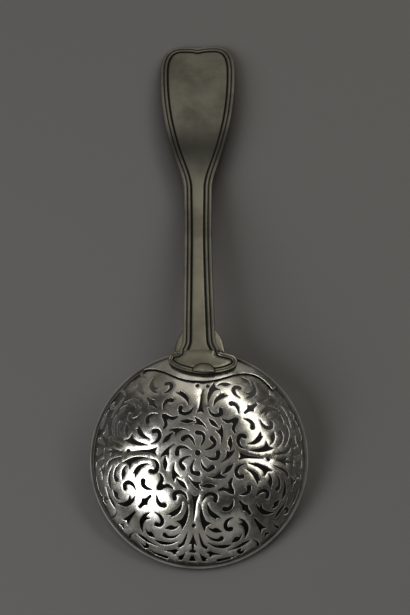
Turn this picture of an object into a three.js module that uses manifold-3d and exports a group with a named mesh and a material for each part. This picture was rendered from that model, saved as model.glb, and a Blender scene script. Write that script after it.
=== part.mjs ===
import * as THREE from 'three';
import { mergeVertices } from 'three/addons/utils/BufferGeometryUtils.js';
import Module from 'manifold-3d';

// A silver sifter spoon lying face down: a pierced round bowl with a rim frame and collar, a heel plate, and
// a fiddle-shaped handle with a double thread border. +Y runs from the bowl to the handle's end, +Z is up,
// and the origin is on the surface that the spoon lies on, under the middle of its length.

// Driving dimensions, in millimetres
const spoonLength = 207;
const bowlRadius = 36.5;
const domeApexHeight = 14.8;
const domeEdgeHeight = 0.9;
const sheetThickness = 0.8;
const lobeRise = 1.1;
const seamClearance = 0.3;
const rimHeight = 2;
const rimWallThickness = 0.9;
const rimEdgeRounding = 0.25;
const collarThickness = 0.8;
const collarShift = -1.8;
const heelWidth = 23.4;
const heelBaseThickness = 0.8;
const heelThreadRise = 0.45;
const heelThreadWidth = 0.65;
const heelEdgeMargin = 0.2;
const heelThreadSpacing = 1;
const heelShift = -0.7;
const heelDropRise = 0.9;
const heelDropWidth = 8;
const heelDropLength = 3.4;
const rootFlareWidth = 16;
const rootFlareLength = 4.5;
const stemRootWidth = 11.1;
const stemWaistWidth = 9.9;
const stemRootHeight = 20.1;
const stemRootShift = 0.6;
const neckWidth = 10.3;
const neckHeight = 8.3;
const fieldHeight = 7.4;
const terminalWidth = 28.2;
const terminalLength = 66;
const endThickness = 2.2;
const rootThickness = 3.4;
const neckThickness = 3.8;
const fieldThickness = 2.1;
const threadBandWidth = 3.3;
const threadHeight = 0.45;
const handleEdgeRounding = 0.6;
const groundCutDepth = 0.45;
const shoulderWidth = 17.2;
const shoulderLength = 12;
const shoulderThickness = 1.6;
const collarHoleMargin = 0.5;
const cutOverrun = 2;

// Angles, in degrees: the bowl's rear side is held up by the handle, and the ornament, collar and heel are
// turned a little on the bowl
const restTiltDegrees = 12.9;
const ornamentTurnDegrees = -4.3;

// Counts
const dishSectors = 32;
const ringSegments = 64;
const quarterTurns = 4;
const rosetteCopies = 8;
const curveSteps = 6;
const dotCorners = 6;

// Shape of the dome, as shares of the bowl's radius and of the lobe's rise
const dishRingShares = [0.16, 0.33, 0.46, 0.595, 0.73, 0.86];
const lobeInnerShare = 0.33;
const lobeOuterShare = 0.86;
const lobeCrownPower = 0.8;
const valleyPower = 0.7;

// Collar edge as shares of the bowl's radius, from its middle to where it meets the rim
const collarMiddleShare = [0, 0.678];
const collarPeakShares = [[0.22, 0.672], [0.3, 0.8], [0.455, 0.8]];
const collarEndShares = [[0.55, 0.8], [0.62, 0.75], [0.69, 0.66]];

// Heel outline: across as shares of half the heel's width, along as shares of the bowl's radius
const heelFrontShare = [0, 0.75];
const heelSideShares = [[0.4, 0.75], [0.93, 0.85], [1, 0.937]];
const heelRearShares = [[1, 0.96], [0.96, 0.99], [0.9, 1.03]];
const heelDropFrontShare = 0.77;

// Terminal outline from the neck to the middle of its end: shares of half its width and of its length
const terminalShares = [
  [[0.4, 0.1], [0.58, 0.16], [0.75, 0.32]],
  [[0.89, 0.44], [1, 0.59], [1, 0.795]],
  [[1, 0.93], [0.82, 1], [0.43, 1]],
  [[0.25, 1], [0.09, 0.998], [0, 0.988]],
];

// Where the stem is narrowest, and where the terminal's field starts to fall, as shares of their lengths
const waistShare = 0.62;
const fieldShare = 0.4;
const fallShare = 0.74;
const fallHeightShare = 0.76;

// Thread border of the handle: inset as a share of its band, height as a share of the thread's height
const threadProfileShares = [[0.12, 0.2], [0.3, 1], [0.48, 0.05], [0.58, 0.05], [0.74, 1], [0.92, 0], [1, 0]];

// Pierced ornament. A stroke's rows are [across, along, width] and an outline's rows are [across, along], all
// as shares of the bowl's radius, in the eighth of the bowl between its +Y axis and the diagonal.
const octantStrokeShares = [
  [[0.068, 0.425, 0], [0.090, 0.376, 0.024], [0.138, 0.352, 0.034], [0.184, 0.372, 0.038],
    [0.180, 0.412, 0.040]],
  [[0.342, 0.388, 0], [0.334, 0.436, 0.026], [0.306, 0.472, 0.034], [0.268, 0.476, 0.044]],
  [[0.352, 0.540, 0], [0.305, 0.568, 0.024], [0.283, 0.612, 0.034], [0.301, 0.647, 0.034],
    [0.338, 0.640, 0.036]],
  [[0.135, 0.775, 0], [0.205, 0.797, 0.018], [0.280, 0.794, 0.028], [0.338, 0.776, 0.010]],
  [[0.433, 0.678, 0], [0.414, 0.712, 0.022], [0.386, 0.724, 0.042], [0.350, 0.752, 0.010]],
  [[0.118, 0.708, 0], [0.165, 0.738, 0.018], [0.222, 0.745, 0.024], [0.258, 0.726, 0.038]],
  [[0.132, 0.644, 0], [0.165, 0.664, 0.022], [0.207, 0.663, 0.040], [0.252, 0.672, 0.006]],
  [[0.052, 0.695, 0], [0.068, 0.745, 0.018], [0.090, 0.795, 0.026], [0.122, 0.815, 0.026]],
  [[0.320, 0.822, 0], [0.392, 0.792, 0.016], [0.452, 0.756, 0.024], [0.508, 0.722, 0.008]],
  [[0.536, 0.712, 0], [0.572, 0.728, 0.016], [0.582, 0.752, 0.028]],
  [[0.472, 0.802, 0], [0.440, 0.830, 0.022], [0.410, 0.828, 0.028], [0.424, 0.808, 0.020]],
  [[0.395, 0.858, 0], [0.330, 0.886, 0.016], [0.275, 0.902, 0.022], [0.228, 0.915, 0.024]],
];
const octantOutlineShares = [
  [[0.058, 0.450], [0.050, 0.530], [0.066, 0.610], [0.102, 0.680], [0.114, 0.636], [0.162, 0.606],
    [0.112, 0.590], [0.080, 0.530]],
  [[0.110, 0.434], [0.117, 0.500], [0.150, 0.548], [0.203, 0.576], [0.202, 0.558], [0.243, 0.554],
    [0.190, 0.522], [0.145, 0.488]],
  [[0.395, 0.541], [0.452, 0.556], [0.490, 0.605], [0.489, 0.656], [0.459, 0.718], [0.456, 0.655],
    [0.440, 0.612], [0.397, 0.594], [0.436, 0.577]],
  [[0.060, 0.856], [0.083, 0.880], [0.140, 0.905], [0.122, 0.914], [0.132, 0.930], [0.092, 0.932],
    [0.078, 0.905]],
  [[0.125, 0.858], [0.150, 0.840], [0.190, 0.848], [0.264, 0.862], [0.184, 0.872], [0.168, 0.890],
    [0.150, 0.886], [0.150, 0.868]],
];
const diagonalOutlineShares = [
  [[0.200, 0.332], [0.200, 0.316], [0.245, 0.287], [0.286, 0.298], [0.298, 0.286], [0.287, 0.245],
    [0.316, 0.200], [0.332, 0.200], [0.320, 0.255], [0.346, 0.310], [0.346, 0.340], [0.340, 0.346],
    [0.310, 0.346], [0.255, 0.320]],
  [[0.388, 0.402], [0.402, 0.388], [0.444, 0.420], [0.478, 0.425], [0.480, 0.452], [0.512, 0.494],
    [0.494, 0.512], [0.452, 0.480], [0.425, 0.478], [0.420, 0.444]],
  [[0.528, 0.542], [0.542, 0.528], [0.600, 0.572], [0.655, 0.604], [0.612, 0.612], [0.604, 0.655],
    [0.572, 0.600]],
  [[0.640, 0.640], [0.686, 0.636], [0.668, 0.654], [0.656, 0.656], [0.654, 0.668], [0.636, 0.686]],
];
const axisOutlineShares = [
  [[-0.038, 0.366], [0, 0.384], [0.038, 0.366], [0.016, 0.430], [0.010, 0.500], [0, 0.600], [-0.010, 0.500],
    [-0.016, 0.430]],
  [[0, 0.698], [0.014, 0.748], [0.038, 0.802], [0.012, 0.790], [0.010, 0.838], [0.030, 0.846], [0.028, 0.864],
    [-0.028, 0.864], [-0.030, 0.846], [-0.010, 0.838], [-0.012, 0.790], [-0.038, 0.802], [-0.014, 0.748]],
  [[-0.010, 0.886], [0.010, 0.886], [0.034, 0.934], [-0.034, 0.934]],
];
const axisDotShares = [[0, 0.634]];
const handleSideDotShares = [[-0.047, 0.634], [0.047, 0.634]];
const dotRadiusShare = 0.018;
const centreDotRadiusShare = 0.027;
const rosetteStrokeShares = [
  [[0.058, 0.028, 0], [0.118, 0.053, 0.024], [0.150, 0.098, 0.032], [0.118, 0.142, 0.044]],
  [[0.075, 0.325, 0], [0.118, 0.284, 0.042], [0.156, 0.254, 0.020], [0.174, 0.231, 0.006]],
];
const rosetteOutlineShares = [
  [[-0.060, 0.336], [-0.010, 0.313], [0.042, 0.266], [0.080, 0.202], [0.026, 0.253], [-0.054, 0.257],
    [-0.030, 0.276], [-0.036, 0.302]],
];

// Worked out from the driving dimensions
const restTilt = THREE.MathUtils.degToRad(restTiltDegrees);
const ornamentTurn = THREE.MathUtils.degToRad(ornamentTurnDegrees);
const rimInnerRadius = bowlRadius - rimWallThickness;
const sheetRadius = rimInnerRadius - seamClearance;
const domeRise = domeApexHeight - domeEdgeHeight;
const domeSphereRadius = (sheetRadius ** 2 + domeRise ** 2) / (2 * domeRise);
const collarBottom = seamClearance;
const collarTop = collarBottom + collarThickness;
const heelBottom = collarTop + seamClearance;
const heelBaseTop = heelBottom + heelBaseThickness;
const heelTop = heelBaseTop + heelThreadRise;
const heelDropTop = heelBaseTop + heelDropRise;
const rimReach = bowlRadius * Math.cos(Math.PI / ringSegments);
const rimShoulder = rimHeight - rimEdgeRounding;
const bowlCentreY = rimReach * Math.cos(restTilt) + rimShoulder * Math.sin(restTilt) - spoonLength / 2;
const bowlCentreZ = rimReach * Math.sin(restTilt);
const rootY = bowlCentreY + bowlRadius * Math.cos(restTilt);
const handleEndY = spoonLength / 2;
const neckY = handleEndY - terminalLength;
const stemLength = neckY - rootY;

const wasm = await Module();
wasm.setup();

// Solids and meshes

function solidOf(geometry) {
  geometry.deleteAttribute('normal');
  geometry.deleteAttribute('uv');
  const merged = mergeVertices(geometry);
  const vertProperties = new Float32Array(merged.attributes.position.array);
  const triVerts = new Uint32Array(merged.index.array);
  return new wasm.Manifold(new wasm.Mesh({ numProp: 3, vertProperties, triVerts }));
}

function geometryOf(solid) {
  const mesh = solid.getMesh();
  const geometry = new THREE.BufferGeometry();
  geometry.setAttribute('position', new THREE.BufferAttribute(new Float32Array(mesh.vertProperties), 3));
  geometry.setIndex(new THREE.BufferAttribute(new Uint32Array(mesh.triVerts), 1));
  geometry.computeVertexNormals();
  return geometry;
}

function indexedGeometry(points, triangles) {
  const geometry = new THREE.BufferGeometry();
  geometry.setAttribute('position', new THREE.Float32BufferAttribute(points.flat(), 3));
  geometry.setIndex(triangles.flat());
  return geometry;
}

// An upright prism over an outline, from below the rim to above the dome
function prismOf(outline) {
  const depth = domeApexHeight + rimHeight + 2 * cutOverrun;
  const shape = new THREE.Shape(outline);
  const geometry = new THREE.ExtrudeGeometry(shape, { depth, bevelEnabled: false, steps: 1 });
  geometry.translate(0, 0, -rimHeight - cutOverrun);
  return solidOf(geometry);
}

// Shape of the dome

function sphereHeight(radius) {
  return domeApexHeight - domeSphereRadius + Math.sqrt(domeSphereRadius ** 2 - radius ** 2);
}

// Four lobes stand on the sphere, with valleys between them on the ornament's axes
function lobeHeight(radius, angle) {
  const inner = lobeInnerShare * bowlRadius;
  const outer = lobeOuterShare * bowlRadius;
  if (radius <= inner || radius >= outer) return 0;
  const crown = Math.sin((Math.PI * (radius - inner)) / (outer - inner)) ** lobeCrownPower;
  return lobeRise * crown * Math.abs(Math.sin(2 * angle)) ** valleyPower;
}

// How high the outer surface of the pierced sheet is
const sheetHeight = (radius, angle) => sphereHeight(radius) + lobeHeight(radius, angle);

// A dish between two surfaces over the ornament's grid, out to the last of its edge radii
function dishSolid(bottomAt, topAt, edgeRadii) {
  const radii = [...dishRingShares.map((share) => share * bowlRadius), ...edgeRadii];
  const surfaces = [bottomAt, topAt];
  const ringSize = radii.length * dishSectors;
  const points = [];
  surfaces.forEach((heightAt) => {
    radii.forEach((radius) => {
      for (let sector = 0; sector < dishSectors; sector++) {
        const angle = (2 * Math.PI * sector) / dishSectors;
        const turned = angle + ornamentTurn;
        points.push([radius * Math.cos(turned), radius * Math.sin(turned), heightAt(radius, angle)]);
      }
    });
  });
  const centres = surfaces.map((heightAt) => points.push([0, 0, heightAt(0, 0)]) - 1);
  const at = (layer, ring, sector) => layer * ringSize + ring * dishSectors + (sector % dishSectors);
  const triangles = [];
  const last = radii.length - 1;
  for (let sector = 0; sector < dishSectors; sector++) {
    const next = sector + 1;
    triangles.push([centres[1], at(1, 0, sector), at(1, 0, next)]);
    triangles.push([centres[0], at(0, 0, next), at(0, 0, sector)]);
    for (let ring = 0; ring < last; ring++) {
      triangles.push([at(1, ring, sector), at(1, ring + 1, sector), at(1, ring + 1, next)]);
      triangles.push([at(1, ring, sector), at(1, ring + 1, next), at(1, ring, next)]);
      triangles.push([at(0, ring, sector), at(0, ring + 1, next), at(0, ring + 1, sector)]);
      triangles.push([at(0, ring, sector), at(0, ring, next), at(0, ring + 1, next)]);
    }
    triangles.push([at(1, last, sector), at(0, last, sector), at(0, last, next)]);
    triangles.push([at(1, last, sector), at(0, last, next), at(1, last, next)]);
  }
  return solidOf(indexedGeometry(points, triangles));
}

// A dish of even upright thickness, between two offsets from the pierced sheet's outer surface
function offsetDish(lowOffset, highOffset, edgeRadius) {
  return dishSolid(
    (radius, angle) => sheetHeight(radius, angle) + lowOffset,
    (radius, angle) => sheetHeight(radius, angle) + highOffset,
    [edgeRadius]);
}

// Outlines of the pierced ornament

function unitAlong(from, to) {
  const length = Math.hypot(to[0] - from[0], to[1] - from[1]);
  return [(to[0] - from[0]) / length, (to[1] - from[1]) / length];
}

// A stroke starts in a point and ends in a blunt head
function strokeOutline(rows) {
  const leftSide = [];
  const rightSide = [];
  rows.forEach(([across, along, width], index) => {
    const before = rows[Math.max(index - 1, 0)];
    const after = rows[Math.min(index + 1, rows.length - 1)];
    const [forwardX, forwardY] = unitAlong(before, after);
    leftSide.push([across - (forwardY * width) / 2, along + (forwardX * width) / 2]);
    if (width > 0) rightSide.unshift([across + (forwardY * width) / 2, along - (forwardX * width) / 2]);
  });
  const [headX, headY, headWidth] = rows[rows.length - 1];
  const [forwardX, forwardY] = unitAlong(rows[rows.length - 2], rows[rows.length - 1]);
  const cap = [headX + (forwardX * headWidth) / 2, headY + (forwardY * headWidth) / 2];
  return [...leftSide, cap, ...rightSide];
}

function dotOutline([across, along], radius) {
  return Array.from({ length: dotCorners }, (_, corner) => {
    const angle = (2 * Math.PI * corner) / dotCorners;
    return [across + radius * Math.cos(angle), along + radius * Math.sin(angle)];
  });
}

// Turned by an angle and enlarged to the bowl's size, in the bowl's frame
function placedOutline(outline, angle) {
  const cos = Math.cos(angle + ornamentTurn) * bowlRadius;
  const sin = Math.sin(angle + ornamentTurn) * bowlRadius;
  return outline.map(([across, along]) => (
    new THREE.Vector2(across * cos - along * sin, across * sin + along * cos)));
}

const mirroredOutline = (outline) => outline.map(([across, along]) => [along, across]);

// Every hole of the ornament. On the handle's side a pair of dots stands for the single one
function ornamentOutlines() {
  const octant = [...octantStrokeShares.map(strokeOutline), ...octantOutlineShares];
  const quarter = [...octant, ...octant.map(mirroredOutline), ...diagonalOutlineShares, ...axisOutlineShares];
  const rosette = [...rosetteStrokeShares.map(strokeOutline), ...rosetteOutlineShares];
  const outlines = [placedOutline(dotOutline([0, 0], centreDotRadiusShare), 0)];
  for (let turn = 0; turn < quarterTurns; turn++) {
    const angle = (2 * Math.PI * turn) / quarterTurns;
    const dotPlaces = turn === 0 ? handleSideDotShares : axisDotShares;
    const dots = dotPlaces.map((place) => dotOutline(place, dotRadiusShare));
    outlines.push(...[...quarter, ...dots].map((outline) => placedOutline(outline, angle)));
  }
  for (let copy = 0; copy < rosetteCopies; copy++) {
    const angle = (2 * Math.PI * copy) / rosetteCopies;
    outlines.push(...rosette.map((outline) => placedOutline(outline, angle)));
  }
  return outlines;
}

// Outline of the collar: a bracket-shaped front edge, and a box round the bowl's rear

const scaledPoint = (share, scaleX, scaleY) => new THREE.Vector2(share[0] * scaleX, share[1] * scaleY);

function bezierPoints(start, rows, scaleX, scaleY) {
  const curve = new THREE.CubicBezierCurve(start, ...rows.map((share) => scaledPoint(share, scaleX, scaleY)));
  return curve.getPoints(curveSteps);
}

function collarEdge() {
  const middle = scaledPoint(collarMiddleShare, bowlRadius, bowlRadius);
  const inner = bezierPoints(middle, collarPeakShares, bowlRadius, bowlRadius);
  const outer = bezierPoints(inner[inner.length - 1], collarEndShares, bowlRadius, bowlRadius);
  return [...inner, ...outer.slice(1)];
}

const mirroredX = (point) => new THREE.Vector2(-point.x, point.y);

// Shifted across and turned with the ornament, in the bowl's frame
function turnedOutline(points, shift) {
  const middle = new THREE.Vector2();
  return points.map(({ x, y }) => new THREE.Vector2(x + shift, y).rotateAround(middle, ornamentTurn));
}

// The collar's edge from left to right, closed behind the bowl
function collarOutline() {
  const right = collarEdge();
  const left = right.slice(1).map(mirroredX).reverse();
  const end = right[right.length - 1];
  const rear = bowlRadius + cutOverrun;
  const corners = [[rear, end.y], [rear, rear], [-rear, rear], [-rear, end.y]];
  const outline = [...left, ...right, ...corners.map(([x, y]) => new THREE.Vector2(x, y))];
  return turnedOutline(outline, collarShift);
}

// How far along the ornament the collar's edge lies at a given place across it
function collarEdgeAt(across) {
  const edge = collarEdge();
  const place = Math.abs(across - collarShift);
  const index = edge.findIndex((point) => point.x >= place);
  if (index <= 0) return index === 0 ? edge[0].y : Infinity;
  const [near, far] = [edge[index - 1], edge[index]];
  return near.y + ((far.y - near.y) * (place - near.x)) / (far.x - near.x);
}

function clearOfCollar(outline) {
  const middle = new THREE.Vector2();
  return outline.every((point) => {
    const place = point.clone().rotateAround(middle, -ornamentTurn);
    return place.y < collarEdgeAt(place.x) - collarHoleMargin;
  });
}

// The pierced bowl

function piercedBowl() {
  let bowl = offsetDish(-sheetThickness, 0, sheetRadius);
  ornamentOutlines().filter(clearOfCollar).forEach((outline) => { bowl = bowl.subtract(prismOf(outline)); });
  return bowl;
}

// The rim band round the bowl's edge, with the collar that covers the handle's side of the bowl

function rimFrame() {
  const profile = [[bowlRadius, 0], [bowlRadius, rimShoulder], [bowlRadius - rimEdgeRounding, rimHeight],
    [rimInnerRadius + rimEdgeRounding, rimHeight], [rimInnerRadius, rimShoulder], [rimInnerRadius, 0],
    [bowlRadius, 0]];
  const points = profile.map(([radius, height]) => new THREE.Vector2(radius, height));
  const ring = new THREE.LatheGeometry(points, ringSegments, Math.PI / ringSegments);
  ring.rotateX(Math.PI / 2);
  const collar = offsetDish(collarBottom, collarTop, bowlRadius - rimWallThickness / 2);
  return solidOf(ring).add(collar.intersect(prismOf(collarOutline())));
}

// The heel plate on the collar: a base, two threads, an inner field and the half-round drop

// The outline drawn in by a distance: its sides move in, and its front moves back towards its widest place
function heelOutline(inset) {
  const halfWidth = heelWidth / 2;
  const widestY = heelSideShares[2][1] * bowlRadius;
  const frontDepth = widestY - heelFrontShare[1] * bowlRadius;
  const place = ([across, along]) => {
    const behindWidest = along * bowlRadius - widestY;
    const y = behindWidest < 0 ? widestY + behindWidest * (1 - inset / frontDepth) : widestY + behindWidest;
    return new THREE.Vector2(across * (halfWidth - inset), y);
  };
  const side = new THREE.CubicBezierCurve(place(heelFrontShare), ...heelSideShares.map(place));
  const rear = new THREE.CubicBezierCurve(place(heelSideShares[2]), ...heelRearShares.map(place));
  const right = [...side.getPoints(curveSteps), ...rear.getPoints(curveSteps).slice(1)];
  return turnedOutline([...right, ...right.slice(1).map(mirroredX).reverse()], heelShift);
}

function heelThread(inset) {
  return prismOf(heelOutline(inset)).subtract(prismOf(heelOutline(inset + heelThreadWidth)));
}

function dropOutline() {
  const frontY = heelDropFrontShare * bowlRadius;
  const shape = new THREE.Shape();
  shape.absellipse(0, frontY, heelDropWidth / 2, heelDropLength, 0, Math.PI, false, 0);
  return turnedOutline(shape.getPoints(curveSteps), 0);
}

// The heel follows the collar, then stays level over the rim, where it meets the stem
function heelDish(lowOffset, highOffset) {
  const levelRadius = sheetRadius - seamClearance;
  const levelled = (radius, angle) => sheetHeight(Math.min(radius, levelRadius), angle);
  const bottomAt = (radius, angle) => {
    const height = levelled(radius, angle) + lowOffset;
    return radius > levelRadius ? Math.max(height, rimHeight + seamClearance) : height;
  };
  const topAt = (radius, angle) => levelled(radius, angle) + highOffset;
  return dishSolid(bottomAt, topAt, [levelRadius, bowlRadius]);
}

function heelPlate() {
  const base = heelDish(heelBottom, heelBaseTop).intersect(prismOf(heelOutline(0)));
  const reliefBottom = heelBaseTop - heelBaseThickness / 2;
  const relief = heelThread(heelEdgeMargin)
    .add(heelThread(heelEdgeMargin + heelThreadSpacing))
    .add(prismOf(heelOutline(heelEdgeMargin + 2 * heelThreadSpacing)));
  const raised = heelDish(reliefBottom, heelTop).intersect(relief);
  const drop = heelDish(reliefBottom, heelDropTop).intersect(prismOf(dropOutline()));
  return base.add(raised).add(drop);
}

// The handle: a stem and terminal with a double thread border all round, and low shoulders at its root

function handleSide() {
  const startY = rootY - rootFlareLength;
  const flare = new THREE.CubicBezierCurve(
    new THREE.Vector2(rootFlareWidth / 2, startY),
    new THREE.Vector2(rootFlareWidth / 2, rootY),
    new THREE.Vector2(stemRootWidth / 2, rootY),
    new THREE.Vector2(stemRootWidth / 2, rootY + rootFlareLength));
  const waistY = rootY + waistShare * stemLength;
  const stem = new THREE.SplineCurve([
    new THREE.Vector2(stemRootWidth / 2, rootY + rootFlareLength),
    new THREE.Vector2(stemWaistWidth / 2, waistY),
    new THREE.Vector2(neckWidth / 2, neckY)]);
  const points = [...flare.getPoints(curveSteps), ...stem.getPoints(2 * curveSteps).slice(1)];
  terminalShares.forEach((rows) => {
    const start = points[points.length - 1];
    const controls = rows.map(([across, along]) => new THREE.Vector2(
      (across * terminalWidth) / 2, neckY + along * terminalLength));
    points.push(...new THREE.CubicBezierCurve(start, ...controls).getPoints(curveSteps).slice(1));
  });
  return points;
}

// A smooth height through knots of [place, height]
function smoothHeight(knots, place) {
  const last = knots.length - 2;
  let index = knots.findIndex((knot) => knot[0] > place) - 1;
  if (index < 0) index = place < knots[0][0] ? 0 : last;
  const slope = (knot) => {
    const before = knots[Math.max(knot - 1, 0)];
    const after = knots[Math.min(knot + 1, knots.length - 1)];
    return (after[1] - before[1]) / (after[0] - before[0]);
  };
  const [start, end] = [knots[index], knots[index + 1]];
  const width = end[0] - start[0];
  const share = (place - start[0]) / width;
  const squared = share * share;
  const cubed = squared * share;
  return start[1] * (2 * cubed - 3 * squared + 1) + end[1] * (3 * squared - 2 * cubed)
    + width * (slope(index) * (cubed - 2 * squared + share) + slope(index + 1) * (cubed - squared));
}

const handleTopKnots = [
  [rootY, stemRootHeight],
  [rootY + stemLength / 2, (stemRootHeight + neckHeight) / 2],
  [neckY, neckHeight],
  [neckY + fieldShare * terminalLength, fieldHeight],
  [neckY + fallShare * terminalLength, fallHeightShare * fieldHeight],
  [handleEndY, endThickness - groundCutDepth],
];
const handleThicknessKnots = [
  [rootY, rootThickness],
  [neckY, neckThickness],
  [neckY + fieldShare * terminalLength, fieldThickness],
  [handleEndY, endThickness],
];

const handleTop = (along) => smoothHeight(handleTopKnots, along);
const handleBottom = (along) => handleTop(along) - smoothHeight(handleThicknessKnots, along);

// The stem bends a little to one side towards its root
function stemShiftAt(along) {
  const share = THREE.MathUtils.clamp((neckY - along) / stemLength, 0, 1);
  return stemRootShift * share * share;
}

// The outline moved inward by a distance, point by point along its normals
function insetOutline(outline, distance) {
  const count = outline.length;
  return outline.map((point, index) => {
    const before = outline[(index + count - 1) % count];
    const after = outline[(index + 1) % count];
    const forward = after.clone().sub(before).normalize();
    return new THREE.Vector2(point.x - forward.y * distance, point.y + forward.x * distance);
  });
}

function closedSide(side) {
  return [...side, ...side.slice(0, -1).map(mirroredX).reverse()];
}

// Rings of points drawn in from the outline, from the underside over the rounded edge to the border's threads
function handleBody() {
  const outline = closedSide(handleSide());
  const count = outline.length;
  const rows = threadProfileShares;
  const edge = handleEdgeRounding;
  const rings = [
    { inset: threadBandWidth, height: (along) => handleBottom(along) },
    { inset: edge, height: (along) => handleBottom(along) },
    { inset: 0, height: (along) => handleBottom(along) + edge },
    { inset: 0, height: (along) => handleTop(along) - edge },
    ...rows.map(([inset, rise]) => (
      { inset: inset * threadBandWidth, height: (along) => handleTop(along) + (rise - 1) * threadHeight })),
  ];
  const points = [];
  rings.forEach(({ inset, height }) => {
    const moved = insetOutline(outline, inset);
    moved[0].y = outline[0].y;
    moved[count - 1].y = outline[count - 1].y;
    moved.forEach((point) => points.push([point.x + stemShiftAt(point.y), point.y, height(point.y)]));
  });
  const triangles = [];
  for (let ring = 0; ring < rings.length - 1; ring++) {
    for (let index = 0; index < count; index++) {
      const next = (index + 1) % count;
      const [low, high] = [ring * count, (ring + 1) * count];
      triangles.push([low + index, low + next, high + next], [low + index, high + next, high + index]);
    }
  }
  const top = (rings.length - 1) * count;
  for (let index = 0; index < (count - 1) / 2; index++) {
    const [right, left] = [index, count - 1 - index];
    triangles.push([top + right, top + right + 1, top + left], [left, right + 1, right]);
    if (right + 1 < left - 1) {
      triangles.push([top + right + 1, top + left - 1, top + left], [left, left - 1, right + 1]);
    }
  }
  return solidOf(indexedGeometry(points, triangles));
}

// Low shoulders beside the stem's root, in line with its underside
function rootShoulders() {
  const shape = new THREE.Shape();
  shape.absellipse(0, 0, shoulderWidth / 2, shoulderLength, 0, Math.PI, false, 0);
  shape.lineTo(-shoulderWidth / 2, -rootFlareLength);
  shape.lineTo(shoulderWidth / 2, -rootFlareLength);
  const geometry = new THREE.ExtrudeGeometry(shape, {
    depth: shoulderThickness, bevelEnabled: false, steps: 1, curveSegments: 2 * curveSteps });
  const fall = handleTop(rootY) - handleTop(rootY + shoulderLength);
  geometry.rotateX(-Math.atan2(fall, shoulderLength));
  geometry.translate(stemRootShift, rootY, handleBottom(rootY) + handleEdgeRounding / 2);
  return solidOf(geometry);
}

// What would lie below the surface, which leaves a flat seat under the handle's end
function groundCutter() {
  const size = 2 * spoonLength;
  const geometry = new THREE.BoxGeometry(size, size, size);
  geometry.translate(0, 0, -size / 2);
  return solidOf(geometry);
}

// The bowl's round envelope with the seam's clearance, where the stem's root is fitted to the rim
function bowlEnvelope() {
  const height = 2 * (domeApexHeight + bowlRadius);
  const radius = bowlRadius + seamClearance;
  const halfStep = Math.PI / ringSegments;
  const geometry = new THREE.CylinderGeometry(radius, radius, height, ringSegments, 1, false, halfStep);
  geometry.rotateX(Math.PI / 2 + restTilt);
  geometry.translate(0, bowlCentreY, bowlCentreZ);
  return solidOf(geometry);
}

function handle() {
  return handleBody().add(rootShoulders()).subtract(bowlEnvelope()).subtract(groundCutter());
}

// Assembly

function silver(colour, roughness) {
  return new THREE.MeshStandardMaterial({ color: colour, roughness, metalness: 1 });
}

function namedMesh(name, solid, material) {
  const mesh = new THREE.Mesh(geometryOf(solid), material);
  mesh.name = name;
  return mesh;
}

const spoon = new THREE.Group();
const bowlGroup = new THREE.Group();
bowlGroup.position.set(0, bowlCentreY, bowlCentreZ);
bowlGroup.rotation.x = restTilt;
bowlGroup.add(namedMesh('bowl_sifter', piercedBowl(), silver(0xb4b2a6, 0.28)));
bowlGroup.add(namedMesh('rim_frame', rimFrame(), silver(0xc6c4ba, 0.22)));
bowlGroup.add(namedMesh('heel_plate', heelPlate(), silver(0xbab8ac, 0.25)));
spoon.add(bowlGroup);
spoon.add(namedMesh('handle', handle(), silver(0xa9a695, 0.3)));

export default spoon;
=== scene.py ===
# %% [markdown]
# # A silver sifter spoon
#
# A sifter spoon lifts sugar out of a bowl and lets it fall through its pierced bottom. This one lies face
# down, so what shows is the domed back of the bowl, the heel that joins it to the stem, and the back of a
# fiddle-shaped handle with a double thread all round. The solids of the spoon come in first. Each of them is
# then replaced by a finer piece that stands in the same place.

# %% Load the solids
import math

import bpy
from mathutils import Matrix, Vector
from mathutils.geometry import delaunay_2d_cdt
from mathutils.kdtree import KDTree


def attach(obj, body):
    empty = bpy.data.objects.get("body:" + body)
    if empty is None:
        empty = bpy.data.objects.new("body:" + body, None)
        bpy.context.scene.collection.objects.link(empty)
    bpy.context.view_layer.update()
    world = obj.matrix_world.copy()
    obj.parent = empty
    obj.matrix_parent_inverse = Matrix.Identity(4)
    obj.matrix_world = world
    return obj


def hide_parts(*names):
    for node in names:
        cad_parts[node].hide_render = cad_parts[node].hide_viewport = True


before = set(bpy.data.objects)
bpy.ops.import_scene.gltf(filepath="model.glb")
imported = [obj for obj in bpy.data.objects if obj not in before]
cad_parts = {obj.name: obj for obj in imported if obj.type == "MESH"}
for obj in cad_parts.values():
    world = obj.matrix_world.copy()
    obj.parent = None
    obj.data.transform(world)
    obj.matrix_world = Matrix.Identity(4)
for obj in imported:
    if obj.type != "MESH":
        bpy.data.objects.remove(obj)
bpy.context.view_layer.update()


# %% [markdown]
# ## The sizes that everything follows
#
# All sizes are in millimetres, as a silversmith would write them, and are turned to metres once, when a
# finished mesh is scaled. The bowl is a shallow dome whose rim is one flat ring. The spoon rests on the front
# of that ring and on the end of its handle, so the bowl leans forward by about thirteen degrees.

# %% Sizes
MM = 0.001
spoon_length = 207
bowl_radius = 36.5
rim_sides = 64
rim_height = 2.0
rim_wall = 0.9
rim_rounding = 0.25
seam = 0.3
dome_height = 14.8
dome_edge_height = 0.9
sheet_thickness = 0.8
lobe_rise = 1.1
rest_tilt = math.radians(12.9)
ornament_turn = math.radians(-4.3)

sheet_radius = bowl_radius - rim_wall - seam
dome_rise = dome_height - dome_edge_height
dome_sphere = (sheet_radius ** 2 + dome_rise ** 2) / (2 * dome_rise)
rim_reach = bowl_radius * math.cos(math.pi / rim_sides)
rim_shoulder = rim_height - rim_rounding
bowl_y = rim_reach * math.cos(rest_tilt) + rim_shoulder * math.sin(rest_tilt) - spoon_length / 2
bowl_z = rim_reach * math.sin(rest_tilt)
print("bowl centre in mm:", round(bowl_y, 2), round(bowl_z, 2))
print("radius of the dome's sphere in mm:", round(dome_sphere, 1))

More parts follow.
